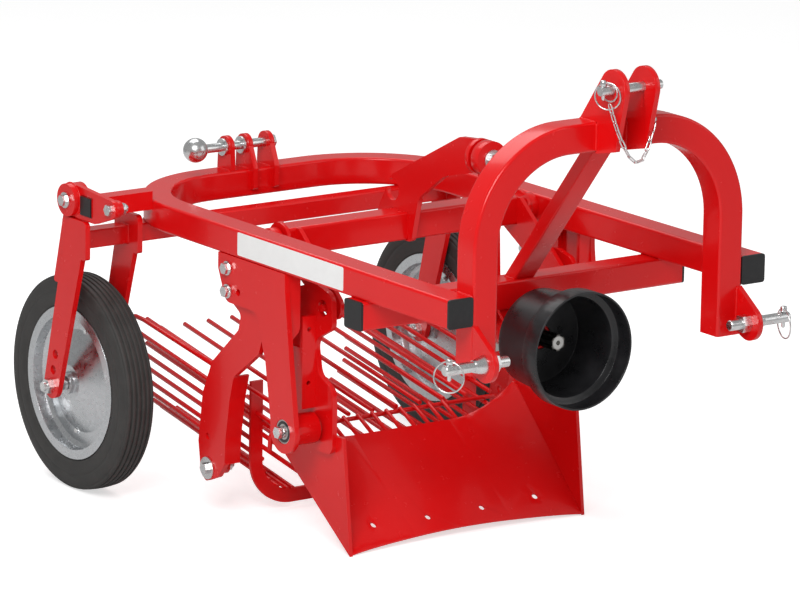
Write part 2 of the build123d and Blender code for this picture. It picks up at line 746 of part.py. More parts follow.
# Pivot pins and stiffening channels on the side plates
pivot_start = share_half + side_plate_thick
pivot_end = rail_outer + 4.0
pieces["share_pivots"] = []
for name, side in sides.items():
    pivot = across(
        side * (pivot_start + pivot_end) / 2, pivot_y, pivot_z, pivot_dia / 2, pivot_end - pivot_start
    )
    collar_length = housing_end + bearing_recess - pivot_start - 0.5
    pivot += across(
        side * (pivot_start + collar_length / 2), pivot_y, pivot_z, pivot_dia / 2 + 5, collar_length
    )
    pivot += hexagon(side * pivot_end, pivot_y, pivot_z, 13.0, 12.0, side)
    pieces["share_pivots"].append(pivot)

    strip_mid = pivot_start + shank_width / 2
    shank = Pos(side * strip_mid, 576, 394) * Box(shank_width, shank_thick, 196)
    for z in (350, 464):
        shank -= along(576, 5.0, shank_thick * 2, side * strip_mid, z)
    web = outline([
        # Y, Z, corner radius
        (581, 296, 0), (640, 296, 0), (640, 425, 28), (581, 425, 0),
    ])
    shank += side_plate(web, side * (pivot_start + shank_width - 5.0), 10.0)
    back = Pos(side * (strip_mid - 5.0), 635, 346) * Box(shank_width - 10.0, 10.0, 100)
    pieces["shank_" + name] = shank + back

# ---------------------------------------------------------------- sieve
rise_rate = tan(radians(sieve_slope))
floor_half = hoop_half - floor_inset
floor_gaps = round(2 * floor_half / sieve_pitch)
comb_half = comb_pitch * (comb_count - 1) / 2
cross_half = share_half - cross_inset
floor_end = sieve_y + sieve_reach
cross_z = sieve_z - rod_dia / cos(radians(sieve_slope))     # the floor rods lie on the cross rod


def floor_height(y):
    """Height of the floor rods' centre line at y."""
    return sieve_z + (y - sieve_y) * rise_rate


cross_rod = bent_rod(
    [
        (-cross_half, sieve_y + 4, cross_z - 40),
        (-cross_half, sieve_y, cross_z),
        (cross_half, sieve_y, cross_z),
        (cross_half, sieve_y + 4, cross_z - 40),
    ],
    14.0, rod_dia,
)
ahead_of_blade = Pos(0, share_rear_y - 100, share_rear_z) * Box(frame_width, 200, 200)
comb_end_z = cross_z + (rod_dia + comb_dia) / 2 - comb_sink
comb = cross_rod
for n in range(comb_count):
    x = comb_pitch * n - comb_half
    bar = straight_rod((x, share_rear_y - 6, share_rear_z - 8), (x, sieve_y - 3, comb_end_z), comb_dia)
    comb += bar - ahead_of_blade
pieces["share_comb"] = comb

floor_start = sieve_y + 1.5
pieces["sieve_floor"] = [
    straight_rod(
        (x, floor_start, floor_height(floor_start)), (x, floor_end, floor_height(floor_end)), rod_dia
    )
    for x in (floor_half * (2 * n / floor_gaps - 1) for n in range(floor_gaps + 1))
]

# The cage hangs in a U-shaped hoop. Its rods sit on the hoop's inner edge.
inner_half = hoop_half - hoop_band
inner_corner = hoop_corner - hoop_band
inner_bottom = hoop_bottom + hoop_band
leg_length = hoop_top - hoop_bottom - hoop_corner
corner_length = inner_corner * pi / 2


def hoop_point(reach):
    """Place (x, z) on the hoop's inner edge, from the top of its right leg down to the bottom."""
    if reach <= leg_length:
        return inner_half, hoop_top - reach
    turn = (reach - leg_length) / inner_corner
    return (
        inner_half - inner_corner * (1 - cos(turn)),
        hoop_top - leg_length - inner_corner * sin(turn),
    )


def blade_meeting(x, z):
    """Where a cage rod through (x, hoop_y, z) meets the blade, as a share of the blade's length."""
    rise_radius = ((blade_half - share_flat_half) ** 2 + share_rise**2) / (2 * share_rise)
    bend = max(abs(x) - share_flat_half, 0)
    rise = rise_radius - (rise_radius**2 - bend**2) ** 0.5
    length = share_rear_y - share_tip_y
    start = z - (hoop_y - share_tip_y) * rise_rate
    return start / (share_rear_z - share_thick + rise - length * rise_rate)


blade_block = blade_solid(share_thick * 8, share_thick * 8)
flank_rows = [n for n in range(int((leg_length + corner_length - flank_top) / flank_pitch) + 1) if n != 1]
cage_rods = []
for n in flank_rows:
    x, z = hoop_point(flank_top + n * flank_pitch)
    meeting = blade_meeting(x, z)
    reaches_blade = 0.3 < meeting < 1
    front_y = share_tip_y + meeting * (share_rear_y - share_tip_y) - 14 if reaches_blade else hoop_y
    for side in sides.values():
        rod = straight_rod(
            (side * x, front_y, z - (hoop_y - front_y) * rise_rate),
            (side * x, cage_end_y, z + (cage_end_y - hoop_y) * rise_rate),
            rod_dia,
        )
        cage_rods.append(rod - blade_block if reaches_blade else rod)
bottom_half = hoop_half - hoop_corner - bottom_inset
bottom_gaps = round(2 * bottom_half / sieve_pitch)
for n in range(bottom_gaps + 1):
    x = bottom_half * (2 * n / bottom_gaps - 1)
    cage_rods.append(straight_rod(
        (x, hoop_y, inner_bottom), (x, cage_end_y, inner_bottom + (cage_end_y - hoop_y) * rise_rate), rod_dia
    ))
pieces["sieve_cage"] = cage_rods

side_rod_x = share_half - rod_dia / 2
side_rod_rate = tan(radians(side_rod_slope))
side_rod_start = share_rear_y - 28
side_rod_bend = side_rod_end - 40
side_rod_top = side_rod_z + (side_rod_bend - side_rod_start) * side_rod_rate
pieces["sieve_side_rods"] = [
    bent_rod(
        [
            (side * side_rod_x, side_rod_start, side_rod_z),
            (side * side_rod_x, side_rod_bend, side_rod_top),
            (side * side_rod_x, side_rod_end, side_rod_top + 2),
            (side * side_rod_x, side_rod_end + 8, side_rod_top - 34),
        ],
        12.0, rod_dia,
    )
    for side in sides.values()
]

outer_u = outline([
    # X, Z, corner radius
    (-hoop_half, hoop_top, 0), (-hoop_half, hoop_bottom, hoop_corner),
    (hoop_half, hoop_bottom, hoop_corner), (hoop_half, hoop_top, 0),
])
inner_u = outline([
    # X, Z, corner radius
    (-inner_half, hoop_top, 0), (-inner_half, inner_bottom, inner_corner),
    (inner_half, inner_bottom, inner_corner), (inner_half, hoop_top, 0),
])
hoop = cross_plate(outer_u - inner_u, hoop_y, hoop_thick)
for rod in pieces["sieve_floor"] + cage_rods:
    hoop -= rod
pieces["sieve_hoop"] = hoop

# ---------------------------------------------------------------- wheels
def sheet_outline(path, thick):
    """Closed outline of a sheet of even thickness along a path of straight runs."""
    vectors = [Vector(*point) for point in path]
    runs = [(b - a).normalized() for a, b in zip(vectors, vectors[1:])]
    near, far = [], []
    for n, point in enumerate(vectors):
        before = runs[max(n - 1, 0)]
        after = runs[min(n, len(runs) - 1)]
        normal = (Vector(-before.Y, before.X) + Vector(-after.Y, after.X)).normalized()
        reach = thick / 2 / normal.dot(Vector(-after.Y, after.X))
        near.append(point + normal * reach)
        far.append(point - normal * reach)
    return [(p.X, p.Y) for p in near + far[::-1]]


half_tyre = tyre_width / 2
half_rim = rim_width / 2
half_sheet = disc_sheet / 2
tyre_half = [
    # X from the wheel's middle, radius
    (half_rim, rim_seat), (half_rim, rim_radius), (half_rim + 3, rim_radius + 3),
    (half_tyre, rim_radius + 20), (half_tyre, tyre_radius - 22), (half_tyre - 4, tyre_radius - 9),
    (half_tyre - 12, tyre_radius - 3), (half_tyre - 24, tyre_radius),
]
disc_path = [
    # X from the wheel's middle, radius
    (hub_disc_x, hub_radius - 1), (hub_disc_x, 38), (hub_disc_x - 4, 46), (half_sheet, 112),
    (half_sheet, rim_seat - 12), (half_sheet + 8, rim_seat - half_sheet),
    (half_rim + half_sheet, rim_seat - half_sheet), (half_rim + half_sheet, rim_radius),
]
hub_bore = (axle_dia + running_clearance) / 2
for name, side in sides.items():
    middle = side * wheel_x
    tyre_points = [(middle + x, r) for x, r in tyre_half] + [(middle - x, r) for x, r in tyre_half[::-1]]
    pieces["tyre_" + name] = spun(tyre_points, wheel_y, tyre_radius)
    wheel = across(middle, wheel_y, tyre_radius, hub_radius, hub_length)
    for facing in (-1, 1):
        sheet = [(middle + facing * x, r) for x, r in sheet_outline(disc_path, disc_sheet)]
        wheel += spun(sheet, wheel_y, tyre_radius)
    pieces["wheel_disc_" + name] = wheel - across(middle, wheel_y, tyre_radius, hub_bore, hub_length * 2)

# ---------------------------------------------------------------- wheel carrier
beam_mid_y = beam_y + beam_size / 2
beam_z = rail_bottom - beam_size / 2
beam_end_x = outer_leg_x - leg_thick
pieces["axle_beam"] = straight_tube(
    (-beam_end_x, beam_mid_y, beam_z), (beam_end_x, beam_mid_y, beam_z),
    beam_size, beam_size, beam_wall, 4.0, (0, 1, 0),
)
beam_block = Pos(0, beam_mid_y, beam_z) * Box(2 * beam_end_x, beam_size, beam_size)
leg_outline = hull_of(
    Pos(wheel_y, tyre_radius) * Circle(leg_foot_radius),
    Pos(beam_mid_y - 2, leg_plate_bottom) * Rectangle(leg_width, 2),
)
leg_head = outline([
    # Y, Z, corner radius
    (leg_plate_front, leg_plate_bottom - 6, 6), (leg_plate_front, leg_plate_top, 12),
    (leg_plate_rear, leg_plate_top, 12), (leg_plate_rear, leg_plate_bottom - 6, 6),
])
lean = (beam_mid_y - wheel_y) / (beam_z - tyre_radius)
axle_length = outer_leg_x - inner_leg_x
for name, side in sides.items():
    legs = []
    for leg_x in (outer_leg_x - leg_thick / 2, inner_leg_x + leg_thick / 2):
        leg = side_plate(leg_outline + leg_head, side * leg_x, leg_thick) - beam_block
        for hole in range(spare_holes + 1):
            z = tyre_radius + hole * spare_hole_pitch
            y = wheel_y + lean * hole * spare_hole_pitch
            leg -= across(side * leg_x, y, z, (axle_dia + pin_clearance) / 2, leg_thick * 2)
        legs.append(leg)
    pieces["wheel_legs_" + name] = legs

    bolt = across(
        side * (inner_leg_x + axle_length / 2), wheel_y, tyre_radius, axle_dia / 2, axle_length + 44
    )
    bolt += hexagon(side * outer_leg_x, wheel_y, tyre_radius, leg_nut_radius, leg_nut_height, side)
    bolt += hexagon(side * inner_leg_x, wheel_y, tyre_radius, leg_nut_radius, leg_nut_height, -side)
    for end_x, inward in ((outer_leg_x - leg_thick, -1), (inner_leg_x + leg_thick, 1)):
        hub_end = wheel_x - inward * hub_length / 2
        spacer = abs(end_x - hub_end) - hub_play
        bolt += across(side * (end_x + inward * spacer / 2), wheel_y, tyre_radius, 15.0, spacer)
    pieces["axle_bolt_" + name] = bolt

# The link over the left-hand wheel: a bracket on the frame's bend, a plate bolted to it and a
# strip down the leg
side = sides["left"]
plate_outer = link_x + link_thick / 2
plate_inner = link_x - link_thick / 2
bend_block = Pos(side * (rail_outer - frame_bend), frame_length - frame_bend, rail_z) * Cylinder(
    frame_bend, rail_size * 3
)
stub_length = plate_outer - (rail_outer - frame_bend)
stub_mid_x = side * (plate_outer - stub_length / 2)
stub_block = Pos(stub_mid_x, stub_y, stub_z) * Box(stub_length, stub_size, stub_size)
stub_bore = Pos(stub_mid_x, stub_y, stub_z) * Box(
    stub_length * 2, stub_size - 2 * stub_wall, stub_size - 2 * stub_wall
)
stub_closing = Pos(side * (rail_outer - frame_bend), frame_length - frame_bend, rail_z) * Cylinder(
    frame_bend + stub_wall, rail_size * 3
)
tab = hull_of(
    Pos(link_bolt_y, link_bolt_z) * Circle(17),
    Pos(stub_y - stub_size / 2 - 4, stub_z) * Rectangle(8, stub_size),
)
bracket = stub_block - (stub_bore - stub_closing) - bend_block
bracket += side_plate(tab, side * (plate_inner - link_thick / 2), link_thick)
bracket -= across(side * link_x, link_bolt_y, link_bolt_z, (bolt_dia + pin_clearance) / 2, link_thick * 6)
pieces["link_bracket_left"] = bracket

cap_side = stub_size - 2 * stub_wall - 2 * cap_clearance
link_cap = Pos(side * (plate_outer + stub_wall / 2), stub_y, stub_z) * Box(stub_wall, stub_size, stub_size)
link_cap += Pos(side * (plate_outer - cap_plug / 2), stub_y, stub_z) * Box(cap_plug, cap_side, cap_side)
pieces["link_cap"] = link_cap

strip = outline([
    # Y, Z, corner radius
    (boss_y - link_strip_width / 2, boss_z, 0),
    (boss_y + link_strip_width / 2, boss_z, 0),
    (boss_y + link_strip_width / 2 + link_strip_lean, link_strip_bottom, 6),
    (boss_y + link_strip_width / 2, link_strip_bottom, 6),
])
plate = hull_of(
    Pos(link_bolt_y, link_bolt_z) * Circle(20),
    Pos(stub_y, stub_z) * Rectangle(link_height, link_height),
    Pos(boss_y, boss_z) * Circle(boss_radius),
) - Pos(stub_y, stub_z) * Rectangle(link_window, link_window)
link = side_plate(strip, side * (beam_end_x - leg_thick / 2), leg_thick) - beam_block
link += across(side * link_x, boss_y, boss_z, boss_radius, boss_length)
link += side_plate(plate, side * link_x, link_thick)
link -= across(side * link_x, link_bolt_y, link_bolt_z, (bolt_dia + pin_clearance) / 2, link_thick * 6)
link -= across(side * link_x, boss_y, boss_z, (bolt_dia + pin_clearance) / 2, boss_length * 3)
pieces["wheel_link_left"] = link
pieces["link_bolts"] = [
    cross_bolt(plate_outer, plate_inner - link_thick, link_bolt_y, link_bolt_z, side),
    cross_bolt(
        link_x + boss_length / 2, link_x - boss_length / 2, boss_y, boss_z, side, washer=boss_washer_radius
    ),
]

# ---------------------------------------------------------------- rear lugs
lug_y = rear_mid
lug_z = rail_top + lug_pin_height
lug_outline = hull_of(
    Pos(lug_y, lug_z) * Circle(lug_radius),
    make_face(Polyline(
        (lug_y - 27, rail_top), (lug_y + 27, rail_top),
        (lug_y + 27, rail_top + 2), (lug_y - 27, rail_top + 2),
        close=True,
    )),
)
apron_front = lug_y - rail_size / 2 - lug_apron
apron_outline = outline([
    # Y, Z, corner radius
    (apron_front, lug_apron_foot, 6), (lug_y, lug_apron_foot, 0),
    (lug_y, lug_z, 0), (lug_y - lug_radius, lug_z, 0),
    (apron_front, rail_top + 4, 10),
]) - Pos(lug_y, rail_z) * Rectangle(rail_size, rail_size)
pieces["rear_lugs"] = [
    side_plate(face, x, lug_thick) - across(x, lug_y, lug_z, (lug_pin_dia + pin_clearance) / 2, lug_thick * 2)
    for x, face in zip(lug_x, (lug_outline, lug_outline + apron_outline, lug_outline + apron_outline))
]
lug_pin_end = lug_x[-1] + lug_thick / 2 + 14
pin_length = lug_pin_end - ball_x
pin_profile = Pos(ball_x + pin_length / 2, 0) * Rectangle(pin_length, lug_pin_dia)
pin_profile += Pos(ball_x, 0) * Circle(lug_ball_radius)
for x in lug_x[:2]:
    pin_profile += Pos(x - (lug_thick + lug_collar_length) / 2, 0) * Rectangle(
        lug_collar_length, 2 * lug_collar_radius
    )
pin_profile &= Pos(ball_x, lug_ball_radius) * Rectangle(pin_length * 4, lug_ball_radius * 2)
pin_plane = Plane((0, lug_y, lug_z), x_dir=(1, 0, 0), z_dir=(0, -1, 0))
pieces["rear_pin"] = revolve(
    pin_plane * pin_profile, axis=Axis((0, lug_y, lug_z), (1, 0, 0)), revolution_arc=360,
) + hexagon(lug_x[-1] + lug_thick / 2, lug_y, lug_z, lug_nut_radius, lug_nut_height, 1)

# ---------------------------------------------------------------- shift to the footprint and write
def all_solids(piece):
    """The solids of a piece, or of a list of pieces."""
    return [found for item in (piece if isinstance(piece, list) else [piece]) for found in item.solids()]


parts = {name: Compound(all_solids(piece)) for name, piece in pieces.items()}
whole = Compound(list(parts.values())).bounding_box()
shift = Pos(-(whole.min.X + whole.max.X) / 2, -(whole.min.Y + whole.max.Y) / 2, -whole.min.Z)
os.makedirs("parts", exist_ok=True)
for name, part in parts.items():
    export_step(shift * part, f"parts/{name}.step")
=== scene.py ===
import json
from math import cos, pi, radians, sin, sqrt

import bmesh
import bpy
from mathutils import Matrix, Vector, noise


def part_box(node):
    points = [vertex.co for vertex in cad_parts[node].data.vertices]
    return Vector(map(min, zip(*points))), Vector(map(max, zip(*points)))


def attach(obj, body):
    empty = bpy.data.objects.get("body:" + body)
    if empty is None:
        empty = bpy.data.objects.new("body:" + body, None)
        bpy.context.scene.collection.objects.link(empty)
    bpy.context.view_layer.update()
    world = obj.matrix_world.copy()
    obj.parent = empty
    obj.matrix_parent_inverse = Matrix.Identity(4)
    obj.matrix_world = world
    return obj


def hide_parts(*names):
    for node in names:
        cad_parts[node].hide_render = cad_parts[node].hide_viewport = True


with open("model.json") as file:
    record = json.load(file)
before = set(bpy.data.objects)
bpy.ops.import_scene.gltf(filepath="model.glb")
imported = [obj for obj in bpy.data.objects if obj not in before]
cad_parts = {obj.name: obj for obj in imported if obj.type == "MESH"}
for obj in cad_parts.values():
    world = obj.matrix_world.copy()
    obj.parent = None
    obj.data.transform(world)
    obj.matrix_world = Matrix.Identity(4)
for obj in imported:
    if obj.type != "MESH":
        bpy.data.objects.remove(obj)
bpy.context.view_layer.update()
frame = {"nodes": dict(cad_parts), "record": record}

# Looks of the potato digger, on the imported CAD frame. Metres, X to the right of a person who faces
# rearward, Y rearward, Z up. Places come from the CAD nodes' boxes.

MM = 0.001
scene = bpy.context.scene

# ---------------------------------------------------------------- camera
camera_azimuth = radians(-35.70)
camera_elevation = radians(13.38)
camera_roll = radians(0.93)
camera_lens = 249.3              # mm, on a sensor 36 mm wide
camera_distance = 11.578
camera_target = Vector((-0.0837, -0.0795, 0.4894))


def add_camera():
    back = Vector((
        sin(camera_azimuth) * cos(camera_elevation),
        -cos(camera_azimuth) * cos(camera_elevation),
        sin(camera_elevation),
    ))
    right = Vector((cos(camera_azimuth), sin(camera_azimuth), 0))
    up = back.cross(right)
    turn = Matrix((right, up, back)).transposed().to_4x4()
    camera = bpy.data.objects.new("camera", bpy.data.cameras.new("camera"))
    camera.data.lens = camera_lens
    camera.data.clip_end = 100
    camera.matrix_world = (
        Matrix.Translation(camera_target + back * camera_distance)
        @ turn
        @ Matrix.Rotation(camera_roll, 4, "Z")
    )
    scene.collection.objects.link(camera)
    scene.camera = camera


# ---------------------------------------------------------------- node helpers
class Nodes:
    """A short way to write one material's node tree."""

    def __init__(self, name):
        self.material = bpy.data.materials.new(name)
        self.material.use_nodes = True
        self.tree = self.material.node_tree
        self.shader = self.tree.nodes["Principled BSDF"]
        self.place = self.add("ShaderNodeTexCoord").outputs["Object"]

    def add(self, kind, **values):
        node = self.tree.nodes.new(kind)
        for key, value in values.items():
            setattr(node, key, value)
        return node

    def link(self, source, target):
        self.tree.links.new(source, target)

    def scaled(self, factors):
        """The object's own coordinates, stretched by three factors."""
        mapping = self.add("ShaderNodeMapping")
        mapping.inputs["Scale"].default_value = factors
        self.link(self.place, mapping.inputs["Vector"])
        return mapping.outputs["Vector"]

    def noise(self, scale, detail=2.0, roughness=0.5, place=None):
        node = self.add("ShaderNodeTexNoise")
        node.inputs["Scale"].default_value = scale
        node.inputs["Detail"].default_value = detail
        node.inputs["Roughness"].default_value = roughness
        self.link(place or self.place, node.inputs["Vector"])
        return node.outputs["Fac"]

    def cells(self, scale, output="Color", place=None, randomness=1.0):
        node = self.add("ShaderNodeTexVoronoi")
        node.inputs["Scale"].default_value = scale
        node.inputs["Randomness"].default_value = randomness
        self.link(place or self.place, node.inputs["Vector"])
        return node.outputs[output]

    def ramp(self, source, low, high, start=0.3, end=0.7):
        """A colour or a value between two, as the source goes from start to end."""
        node = self.add("ShaderNodeValToRGB")
        first, last = node.color_ramp.elements
        first.position, last.position = start, end
        first.color = low if isinstance(low, tuple) else (low, low, low, 1)
        last.color = high if isinstance(high, tuple) else (high, high, high, 1)
        self.link(source, node.inputs["Fac"])
        return node.outputs["Color"]

    def mix(self, a, b, amount, blend="MIX"):
        node = self.add("ShaderNodeMix", data_type="RGBA", blend_type=blend)
        node.inputs["Factor"].default_value = amount if isinstance(amount, float) else 0.5
        if not isinstance(amount, float):
            self.link(amount, node.inputs["Factor"])
        for value, socket in ((a, node.inputs["A"]), (b, node.inputs["B"])):
            if isinstance(value, tuple):
                socket.default_value = value
            else:
                self.link(value, socket)
        return node.outputs["Result"]

    def bump(self, *layers):
        """Bumps on each other, each of a height, a strength and a depth in metres."""
        normal = None
        for height, strength, depth in layers:
            node = self.add("ShaderNodeBump")
            node.inputs["Strength"].default_value = strength
            node.inputs["Distance"].default_value = depth
            self.link(height, node.inputs["Height"])
            if normal:
                self.link(normal, node.inputs["Normal"])
            normal = node.outputs["Normal"]
        self.link(normal, self.shader.inputs["Normal"])

    def colour(self, source):
        self.link(source, self.shader.inputs["Base Color"])

    def rough(self, source):
        self.link(source, self.shader.inputs["Roughness"])

    def fixed(self, **values):
        for key, value in values.items():
            self.shader.inputs[key.replace("_", " ")].default_value = value


# ---------------------------------------------------------------- materials
def red_paint():
    """Gloss powder coat: an even red, faint orange peel, a little dust in the sheen."""
    n = Nodes("red_paint")
    drift = n.noise(4.0, 3.0)
    n.colour(n.ramp(drift, (0.72, 0.003, 0.004, 1), (0.76, 0.004, 0.005, 1)))
    n.rough(n.ramp(n.noise(35.0, 5.0, 0.65), 0.22, 0.28))
    n.fixed(Specular_IOR_Level=0.34, Coat_Weight=0.18, Coat_Roughness=0.06)
    n.bump((n.noise(420.0, 1.0), 0.04, 0.0004), (n.noise(38.0, 2.0), 0.02, 0.003))
    return n.material


def cap_plastic():
    """Moulded polyethylene end caps: near black, finely grained, a little scuffed."""
    n = Nodes("cap_plastic")
    scuff = n.noise(60.0, 6.0, 0.7)
    n.colour(n.ramp(scuff, (0.006, 0.006, 0.007, 1), (0.016, 0.016, 0.017, 1)))
    n.rough(n.ramp(scuff, 0.36, 0.52))
    n.bump((n.cells(900.0, "Distance"), 0.25, 0.0003), (n.noise(90.0), 0.1, 0.001))
    return n.material


def guard_plastic():
    """Moulded guard: black, satin, with the faint waves of a thick moulding."""
    n = Nodes("guard_plastic")
    haze = n.noise(22.0, 5.0, 0.6)
    n.colour(n.ramp(haze, (0.008, 0.008, 0.009, 1), (0.020, 0.020, 0.022, 1)))
    n.rough(n.ramp(haze, 0.24, 0.38))
    n.bump((n.noise(1100.0, 1.0), 0.16, 0.0002), (n.noise(14.0), 0.10, 0.004))
    return n.material


def tyre_rubber():
    """Moulded rubber: charcoal with a dusty bloom and fine pores."""
    n = Nodes("tyre_rubber")
    bloom = n.noise(26.0, 8.0, 0.7)
    n.colour(n.ramp(bloom, (0.022, 0.021, 0.020, 1), (0.062, 0.059, 0.056, 1), 0.25, 0.8))
    n.rough(n.ramp(bloom, 0.55, 0.78))
    n.bump((n.noise(700.0, 3.0), 0.35, 0.0004), (n.noise(45.0, 4.0), 0.15, 0.002))
    return n.material


def galvanised():
    """Galvanised sheet: grey spangle, bright and dull flakes, a soft dull bloom."""
    n = Nodes("galvanised")
    flakes = n.cells(150.0)
    bloom = n.noise(18.0, 5.0, 0.65)
    flake_grey = n.ramp(flakes, (0.50, 0.52, 0.54, 1), (0.66, 0.68, 0.70, 1), 0.1, 0.9)
    n.colour(n.mix(flake_grey, (0.60, 0.61, 0.62, 1), bloom))
    n.rough(n.mix(n.ramp(flakes, 0.22, 0.36, 0.1, 0.9), (0.30, 0.30, 0.30, 1), 0.4))
    n.fixed(Metallic=1.0)
    n.bump((bloom, 0.10, 0.002), (n.noise(500.0, 2.0), 0.08, 0.0003))
    return n.material


def zinc_plate():
    """Bright zinc plate on turned pins, nuts and chain."""
    n = Nodes("zinc_plate")
    cloud = n.noise(70.0, 5.0, 0.6)
    n.colour(n.ramp(cloud, (0.66, 0.67, 0.68, 1), (0.80, 0.80, 0.79, 1)))
    n.rough(n.ramp(n.noise(160.0, 4.0, 0.6), 0.18, 0.34))
    n.fixed(Metallic=1.0)
    n.bump((n.noise(900.0, 2.0), 0.10, 0.0002), (cloud, 0.06, 0.001))
    return n.material


def bearing_steel():
    """Ground bearing steel with a film of oil."""
    n = Nodes("bearing_steel")
    grain = n.noise(60.0, 4.0, 0.6, n.scaled((30.0, 1.0, 1.0)))
    n.colour(n.ramp(grain, (0.48, 0.47, 0.45, 1), (0.66, 0.66, 0.64, 1)))
    n.rough(n.ramp(grain, 0.22, 0.38))
    n.fixed(Metallic=1.0)
    n.bump((grain, 0.08, 0.0003))
    return n.material


def machined_steel():
    """Turned shaft steel: fine rings along the shaft, darker where oil has dried."""
    n = Nodes("machined_steel")
    rings = n.noise(40.0, 3.0, 0.6, n.scaled((1.0, 40.0, 1.0)))
    stain = n.noise(45.0, 5.0, 0.7)
    turned = n.ramp(rings, (0.42, 0.41, 0.39, 1), (0.58, 0.57, 0.55, 1))
    n.colour(n.mix(turned, (0.22, 0.19, 0.16, 1), n.ramp(stain, 0.0, 0.6, 0.5, 0.8)))
    n.rough(n.ramp(rings, 0.26, 0.44))
    n.fixed(Metallic=1.0)
    n.bump((rings, 0.15, 0.0003))
    return n.material


def greasy_shaft():
    """The drive shaft: a clean turned end face, dark dried grease over the splines."""
    n = Nodes("greasy_shaft")
    low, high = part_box("drive_shaft")
    centre = (low + high) / 2
    offset = n.add("ShaderNodeVectorMath", operation="SUBTRACT")
    offset.inputs[1].default_value = (centre.x, 0, centre.z)
    n.link(n.place, offset.inputs[0])
    across = n.add("ShaderNodeVectorMath", operation="MULTIPLY")
    across.inputs[1].default_value = (1, 0, 1)
    n.link(offset.outputs["Vector"], across.inputs[0])
    radius = n.add("ShaderNodeVectorMath", operation="LENGTH")
    n.link(across.outputs["Vector"], radius.inputs[0])
    smear = n.noise(90.0, 4.0, 0.6)
    grease = n.ramp(radius.outputs["Value"], 0.0, 1.0, 0.0142, 0.0156)
    clean = n.ramp(smear, (0.62, 0.61, 0.59, 1), (0.74, 0.73, 0.71, 1))
    dirt = n.ramp(smear, (0.05, 0.045, 0.04, 1), (0.16, 0.15, 0.14, 1))
    n.colour(n.mix(clean, dirt, grease))
    n.rough(n.ramp(smear, 0.30, 0.48))
    n.fixed(Metallic=1.0)
    n.bump((smear, 0.12, 0.0004))
    return n.material


def label_vinyl():
    """Blank white vinyl label."""
    n = Nodes("label_vinyl")
    n.colour(n.ramp(n.noise(30.0, 4.0), (0.90, 0.90, 0.89, 1), (0.94, 0.94, 0.93, 1)))
    n.rough(n.ramp(n.noise(120.0, 3.0), 0.28, 0.40))
    n.bump((n.noise(60.0, 2.0), 0.05, 0.001))
    return n.material


materials = {make.__name__: make() for make in (
    red_paint, cap_plastic, guard_plastic, tyre_rubber, galvanised, zinc_plate,
    bearing_steel, machined_steel, label_vinyl, greasy_shaft,
)}
slot_of = {part["node"]: part["material_slot"] for part in frame["record"]["subparts"]}


def dress_cad_nodes():
    """Materials on every CAD node, and worn edges on those of metal."""
    for name, node in frame["nodes"].items():
        node.data.materials.clear()
        node.data.materials.append(materials["greasy_shaft" if name == "drive_shaft" else slot_of[name]])
        node.modifiers.new("weld", "WELD").merge_threshold = 0.00001
        bevel = node.modifiers.new("edges", "BEVEL")
        bevel.width = 0.0007
        bevel.segments = 2
        bevel.angle_limit = radians(38)
        bevel.harden_normals = True


# ---------------------------------------------------------------- mesh helpers
def add_piece(name, vertices, faces, slot, body, smooth=True):
    """A mesh in the row frame that rides on a body and takes its finish from a slot."""
    mesh = bpy.data.meshes.new(name)
    mesh.from_pydata([tuple(v) for v in vertices], [], faces)
    mesh.validate()
    shape = bmesh.new()
    shape.from_mesh(mesh)
    bmesh.ops.recalc_face_normals(shape, faces=shape.faces)
    shape.to_mesh(mesh)
    shape.free()
    for face in mesh.polygons:
        face.use_smooth = smooth
    mesh.materials.append(materials[slot])
    piece = bpy.data.objects.new(name, mesh)
    scene.collection.objects.link(piece)
    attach(piece, body)
    return piece


def grid_faces(rows, columns, wrap_rows):
    """Quads between rows of points; each row is a closed loop."""
    faces = []
    for row in range(rows if wrap_rows else rows - 1):
        here = row * columns
        there = ((row + 1) % rows) * columns
        for column in range(columns):
            after = (column + 1) % columns
            faces.append((here + column, here + after, there + after, there + column))
    return faces


def turned(profile, centre, axis, steps=64, closed=True):
    """Vertices and faces of (along, radius) pairs turned about an axis through a centre."""
    along = Vector(axis).normalized()
    turn = along.to_track_quat("X", "Z").to_matrix()
    vertices = []
    for step in range(steps):
        angle = 2 * pi * step / steps
        for reach, radius in profile:
            vertices.append(Vector(centre) + turn @ Vector((reach, radius * cos(angle), radius * sin(angle))))
    count = len(profile)
    faces = []
    for step in range(steps):
        here, there = step * count, ((step + 1) % steps) * count
        for n in range(count if closed else count - 1):
            after = (n + 1) % count
            faces.append((here + n, here + after, there + after, there + n))
    if not closed:
        for n in (0, count - 1):
            faces.append(tuple(step * count + n for step in range(steps)))
    return vertices, faces


def wire(path, radius, sides=10, closed=False):
    """Vertices and faces of a round wire along points; radius is a number or one per point."""
    count = len(path)
    radii = radius if isinstance(radius, list) else [radius] * count
    vertices = []
    normal = None
    for n, point in enumerate(path):
        before = path[n - 1] if closed or n else point
        after = path[(n + 1) % count] if closed or n < count - 1 else point
        along = (after - before).normalized()
        if normal is None:
            normal = along.orthogonal()
        normal = (normal - along * normal.dot(along)).normalized()
        across = along.cross(normal)
        for side in range(sides):
            angle = 2 * pi * side / sides
            vertices.append(point + (normal * cos(angle) + across * sin(angle)) * radii[n])
    faces = grid_faces(count, sides, closed)
    if not closed:
        faces.append(tuple(range(sides)))
        faces.append(tuple(range((count - 1) * sides, count * sides)))
    return vertices, faces


def joined(*shapes):
    """One list of vertices and faces from several."""
    vertices, faces = [], []
    for more_vertices, more_faces in shapes:
        first = len(vertices)
        vertices += more_vertices
        faces += [tuple(first + n for n in face) for face in more_faces]
    return vertices, faces


